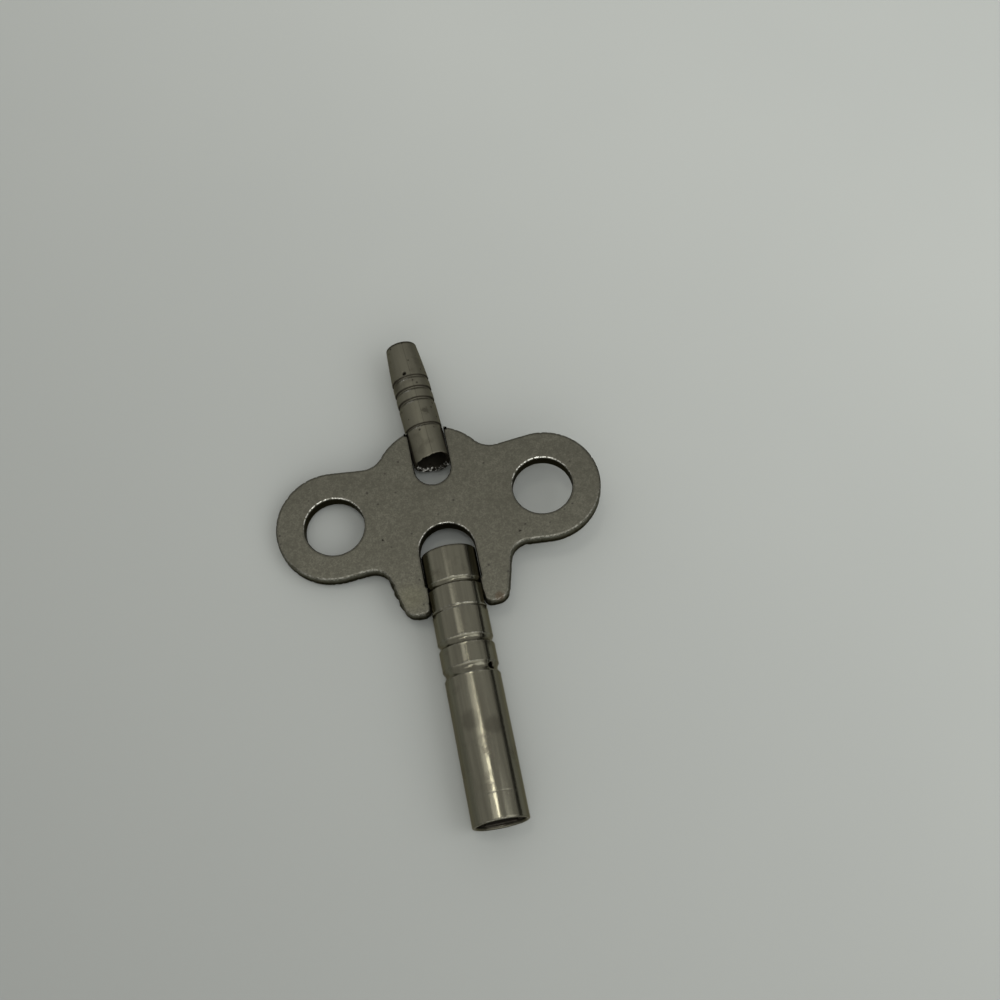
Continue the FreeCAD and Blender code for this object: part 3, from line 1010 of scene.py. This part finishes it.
def makeRegulatorSleeve(lean3d):
    shape = regulatorShape
    tipY = shape["nose"][0][0]
    innerY = 47.0
    wall = shape["wall"]
    rounding = shape["lipRound"]
    grooves = shape["grooves"]
    profile = []
    for y in alongStations(innerY + 0.08, tipY - rounding, grooves, 0.14, 0.04):
        change, paintedShade, rim = grooveDip(y, grooves, shape["skew"])
        paintedShade = max(paintedShade, bell(y, tipY - 0.2, 0.14))      # and one round the tip
        profile.append((y, noseRadius(y) + change, rim, paintedShade, False))
    tipRadius = noseRadius(tipY)
    profile += lipRings(tipY, tipRadius, tipRadius - wall, rounding, 1.0, 0.6, 0.8)
    for y in reversed(alongStations(innerY + 0.5, tipY - 0.4, grooves, 0.5, 0.12)):
        change, paintedShade, rim = grooveDip(y, grooves)
        # painted shade down the whole bore
        profile.append((y, noseRadius(y) - wall + change, 0.0, 0.9, True))
    # painted shade over the torn inner end
    for share in (0.0, 0.25, 0.5, 0.75):
        left = 1.0 - share
        profile.append((innerY + shape["tornBevel"] * left, shape["radius"] - wall * left, 0.0, 1.0, True))
    profile.append((innerY, shape["radius"] - 0.06, 0.0, 1.0, False))
    plateEdge = nodeBoxMm("wing_plate")[1].y
    innerLimit = nodeBoxMm("regulator_barrel")[0].y + 0.02
    reach = shape["tornReach"]

    def place(y, r, turn, inner):
        sideways = math.sin(turn)
        upward = math.cos(turn)
        own = (r * sideways, y, r * upward)
        torn = 0.0
        if y < innerY + reach:
            # the sawn inner end is torn: its top is mashed back, most at the right corner
            ragged = wobble(sideways * 4.5, upward * 4.5, 0.0, 6)
            ragged += 0.6 * wobble(sideways * 13, upward * 13, 0, 7)
            top, bottom = max(0.0, upward), max(0.0, -upward)
            back = 0.44 * top ** 0.5 * min(1.0, max(0.0, sideways + 0.6)) - 0.12 * top
            tongue = 0.5 * bottom * max(0.0, sideways + 0.2)
            torn = (back - tongue + 0.13 * max(0.0, ragged + 0.3)) * (1.0 - (y - innerY) / reach)
        dent = 0.012 * wobble(sideways * 1.5, y * 0.25, upward * 1.5, 12)
        if y < innerY + 0.41 and r < shape["radius"] - 0.05 and upward < -0.1:
            dent -= 0.16 * max(0.0, wobble(sideways * 7.0, y * 6.0, upward * 7.0, 15))
        x, yy, z = lean3d((r - 0.01 + dent) * sideways, y + torn, (r - 0.01 + dent) * upward)
        yy = max(yy, innerLimit)
        if yy < plateEdge - 0.1 and not inner:
            middle = shape["offset"]
            x = max(middle - shape["seatHalf"], min(middle + shape["seatHalf"], x))
        return (x, yy, z), own

    bm, layers = startMesh()
    spinSleeve(bm, layers, profile, 240, place)
    for vert in bm.verts:
        own = vert[layers["own"]]
        across = math.hypot(own.x, own.z)
        if own.y < plateEdge and abs(own.x) > shape["creviceSide"]:
            vert[layers["paintedShade"]] = 1.0     # painted shade in the crevice beside the plate
        torn = own.y < innerY + shape["tornBevel"] and across < shape["radius"] - 0.03 and own.z < -0.5
        if torn and wobble(own.x * 3.2, own.y * 3.0, own.z * 3.2, 21) > 0.06:
            vert[layers["rim"]] = 1.0        # flecks of bare torn metal on the lower lip, painted bright as glints
        elif not torn:
            around = math.atan2(own.x, own.z)
            vert[layers["rim"]] *= bell(around, -0.3, 0.22)     # painted glints, kept to the upper left
    drillBleed(bm, layers, shape["bleed"], noseRadius(shape["bleed"][0]) - 0.02, 0.35, lean3d)
    return finishPiece("regulatorSleeve", bm, "regulator_barrel", regulatorFinish)


# ---- square-bored inserts

def squarePoint(across, corner, turn):
    # a rounded square, met along a ray at this angle
    half = across / 2.0
    dx, dz = math.sin(turn), math.cos(turn)
    reach = half / max(abs(dx), abs(dz))
    flatEnd = half - corner
    x, z = reach * dx, reach * dz
    if abs(x) > flatEnd and abs(z) > flatEnd:
        cx, cz = math.copysign(flatEnd, x), math.copysign(flatEnd, z)
        along = dx * cx + dz * cz
        gap = cx * cx + cz * cz - corner * corner
        reach = along + math.sqrt(max(0.0, along * along - gap))
        x, z = reach * dx, reach * dz
    return x, z


windingPlug = {"square": 4.0, "corner": 0.3, "lead": 0.14, "front": 0.35, "steps": 240}
regulatorPlug = {"square": 1.95, "corner": 0.12, "lead": 0.09, "front": 0.25, "steps": 160}


def makePlug(name, nodeName, shape, frontY, backY, radiusAt, direction, transform):
    # direction is +1 where the insert runs along +Y away from its open end
    steps = shape["steps"]
    across = shape["square"]
    bm, layers = startMesh()
    lead = shape["lead"]
    edge = radiusAt(frontY)

    def between(share):
        return frontY + (backY - frontY) * share

    def past(depth):
        return frontY + direction * depth

    # in these rows rim puts rub and painted highlight on the lead edges, and paintedShade darkens deeper
    # into the bore
    outline = [("round", y, radiusAt(y), 0.0, 0.6) for y in map(between, (1.0, 0.75, 0.5, 0.25))]
    outline += [
        ("round", past(0.1), edge, 0.0, 1.0),
        ("round", past(0.02), edge - 0.08, 0.1, 0.6),
        ("round", frontY, edge - 0.1, 0.1, 0.4),
        ("blend", frontY, 0.5, 0.05, 0.3),
        ("square", frontY, across + 2.0 * lead, 0.1, 0.4),
        ("square", past(lead * 0.5), across + lead, 0.15, 0.7),
        ("square", past(lead), across, 0.0, 1.0),
    ]
    outline += [("square", between(share), across, 0.0, 1.0) for share in (0.15, 0.4, 0.7, 1.0)]
    outline.append(("blend", backY, 0.5, 0.0, 0.9))
    rings = []
    for kind, y, size, rim, paintedShade in outline:
        ring = []
        for k in range(steps):
            turn = 2.0 * math.pi * (k + 0.5) / steps
            if kind == "round":
                x, z = size * math.sin(turn), size * math.cos(turn)
            elif kind == "square":
                x, z = squarePoint(size, shape["corner"], turn)
            else:
                sx, sz = squarePoint(across + 2.0 * lead, shape["corner"], turn)
                reach = radiusAt(y) - 0.1
                x = sx + (reach * math.sin(turn) - sx) * size
                z = sz + (reach * math.cos(turn) - sz) * size
            score = 0.012 * wobble(x * 3.0, y * 0.2, z * 3.0, 21) if kind == "square" else 0.0
            own = (x * (1.0 + score), y, z * (1.0 + score))
            ring.append(addPoint(bm, layers, transform(*own), own, rim, paintedShade))
        rings.append(ring)
    joinClosed(bm, rings)
    piece = finishPiece(name, bm, nodeName, boreFinish)
    piece.data.set_sharp_from_angle(angle=math.radians(40))
    return piece


makeWindingSleeve()
plugLow, plugHigh = nodeBoxMm("winding_socket")
makePlug("windingInsert", "winding_socket", windingPlug, plugLow.y, plugHigh.y,
         lambda y: plugHigh.x, 1.0, straight)
leanOver = leanPlacer()
makeRegulatorSleeve(leanOver)
noseTop = regulatorShape["nose"][0][0]
plugFront = noseTop - regulatorPlug["front"]
makePlug("regulatorInsert", "regulator_socket", regulatorPlug, plugFront,
         plugFront - regulatorShape["insertLength"],
         lambda y: noseRadius(y) - regulatorShape["wall"] - 0.03, -1.0, leanOver)
print("sleeves and inserts made")


# ---- table top, light and camera

roomLook = {
    "tableColour": (0.585, 0.607, 0.584),
    "tableSize": 900.0,         # mm
    "tableRoughness": 0.5,
    "tableShadeShare": 0.50,          # painted shade: the table top is darker on its near left side
    "tableShadeFrom": -180.0,
    "tableShadeTo": 260.0,
    "ceiling": 0.52,            # brightness of the room overhead
    "horizonDark": 0.97,        # how far the low right side of the room falls off
    "horizonFrom": 0.10,        # share of height where that dark part ends
    "horizonTo": 0.34,
    "rightFrom": 0.35,
    "rightTo": 0.75,
    "frontGlow": 2.8,           # the low side of the room in front of the key, against the ceiling
    "frontFrom": 0.55,
    "frontTo": 0.80,
}

roomLights = [
    # name, place, aim, size, power in watts, colour
    ("ceilingPanel", (-122, 88, 560), (0, 20, 0), (190, 245), 0.165, (1.0, 0.99, 0.95)),
    ("ceilingLamp", (-18, 92, 500), (0, 5, 0), (44, 64), 0.105, (1.0, 0.97, 0.88)),
    ("rightWindow", (280, -90, 300), (0, 20, 0), (300, 300), 0.34, (0.98, 1.0, 1.0)),
    ("overhead", (30, -105, 520), (5, 35, 0), (150, 120), 0.28, (0.98, 1.0, 0.98)),
]

cameraPlace = {
    "eye": (1.45, -25.94, 161.65),      # mm
    "aim": (7.837, 40.112, 0.0),
    "up": (0.1969, 0.9048, 0.3775),
    "lens": 49.1,
}


def makeTable():
    look = roomLook
    # the key lies on its big sleeve and the edge of its left wing, so the table leans under it
    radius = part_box("winding_barrel")[1][2]
    wing = Vector(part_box("wing_plate")[0])
    reach = math.hypot(wing.x, wing.z)
    lean = math.atan2(-wing.x, -wing.z) - math.acos(min(1.0, radius / reach))
    half = look["tableSize"] * mm / 2.0
    bm = bmesh.new()
    bmesh.ops.create_grid(bm, x_segments=8, y_segments=8, size=half)
    mesh = bpy.data.meshes.new("tableTop")
    bm.to_mesh(mesh)
    bm.free()
    table = bpy.data.objects.new("tableTop", mesh)
    bpy.context.collection.objects.link(table)
    table.rotation_euler = (0, lean, 0)
    table.location = Vector((math.sin(lean), 0, math.cos(lean))) * -(radius + 0.02 * mm)
    print("table leans", round(math.degrees(lean), 2), "degrees")
    material = bpy.data.materials.new("paleTableTop")
    material.use_nodes = True
    tree = material.node_tree
    shader = tree.nodes["Principled BSDF"]
    where = addNode(tree, "ShaderNodeTexCoord").outputs["Object"]
    broad = noiseNode(tree, where, 12.0, 3.0)
    fine = noiseNode(tree, where, 900.0, 4.0)
    red, green, blue = look["tableColour"]
    darker = (red * 0.96, green * 0.963, blue * 0.966)
    colour = mixColour(tree, softStep(tree, broad, 0.3, 0.7), darker, look["tableColour"])
    parts = addNode(tree, "ShaderNodeSeparateXYZ")
    tree.links.new(where, parts.inputs[0])
    across = mathNode(tree, "MULTIPLY_ADD", parts.outputs["X"], 1.3, parts.outputs["Y"])
    # painted shade across the table, darker towards the near left
    tableShade = softStep(tree, across, look["tableShadeFrom"] * mm, look["tableShadeTo"] * mm)
    tableShadeColour = tuple(part * look["tableShadeShare"] for part in look["tableColour"])
    colour = mixColour(tree, tableShade, tableShadeColour, colour)
    tree.links.new(colour, shader.inputs["Base Color"])
    rough = mathNode(tree, "MULTIPLY_ADD", fine, 0.12, look["tableRoughness"])
    tree.links.new(rough, shader.inputs["Roughness"])
    addBump(tree, shader, fine, 0.08, 0.05)
    mesh.materials.append(material)
    return table


def makeLight(name, place, aim, size, power, colour):
    data = bpy.data.lights.new(name, "AREA")
    data.shape = "RECTANGLE"
    data.size = size[0] * mm
    data.size_y = size[1] * mm
    data.energy = power
    data.color = colour
    light = bpy.data.objects.new(name, data)
    light.location = Vector(place) * mm
    light.rotation_euler = (Vector(aim) * mm - light.location).to_track_quat("-Z", "Y").to_euler()
    bpy.context.collection.objects.link(light)
    return light


def makeWorld():
    look = roomLook
    world = bpy.data.worlds.new("softRoom")
    bpy.context.scene.world = world
    world.use_nodes = True
    tree = world.node_tree
    background = tree.nodes["Background"]
    where = addNode(tree, "ShaderNodeTexCoord").outputs["Generated"]
    parts = addNode(tree, "ShaderNodeSeparateXYZ")
    tree.links.new(where, parts.inputs[0])
    high = softStep(tree, parts.outputs["Z"], look["horizonFrom"], look["horizonTo"])
    low = mathNode(tree, "SUBTRACT", 1.0, high)
    right = softStep(tree, parts.outputs["X"], look["rightFrom"], look["rightTo"])
    dark = mathNode(tree, "MULTIPLY", mathNode(tree, "MULTIPLY", low, right), look["horizonDark"])
    room = mixColour(tree, dark, (1.0, 0.995, 0.96), (0.06, 0.06, 0.055))
    glow = look["frontGlow"]
    forward = mathNode(tree, "MULTIPLY", parts.outputs["Y"], -1.0)
    front = softStep(tree, forward, look["frontFrom"], look["frontTo"])
    room = mixColour(tree, front, room, (glow, glow, 0.96 * glow))
    tree.links.new(room, background.inputs["Color"])
    background.inputs["Strength"].default_value = look["ceiling"]


def makeCamera():
    place = cameraPlace
    data = bpy.data.cameras.new("mainCamera")
    data.lens = place["lens"]
    data.sensor_width = 36.0
    camera = bpy.data.objects.new("mainCamera", data)
    eye = Vector(place["eye"]) * mm
    back = (eye - Vector(place["aim"]) * mm).normalized()
    side = Vector(place["up"]).cross(back).normalized()
    up = back.cross(side)
    turn = Matrix((side, up, back)).transposed().to_4x4()
    camera.matrix_world = Matrix.Translation(eye) @ turn
    data.clip_start = 0.005
    bpy.context.collection.objects.link(camera)
    bpy.context.scene.camera = camera


makeTable()
makeWorld()
for light in roomLights:
    makeLight(*light)
makeCamera()
bpy.context.scene.view_settings.view_transform = "Standard"
print("table, light and camera made")
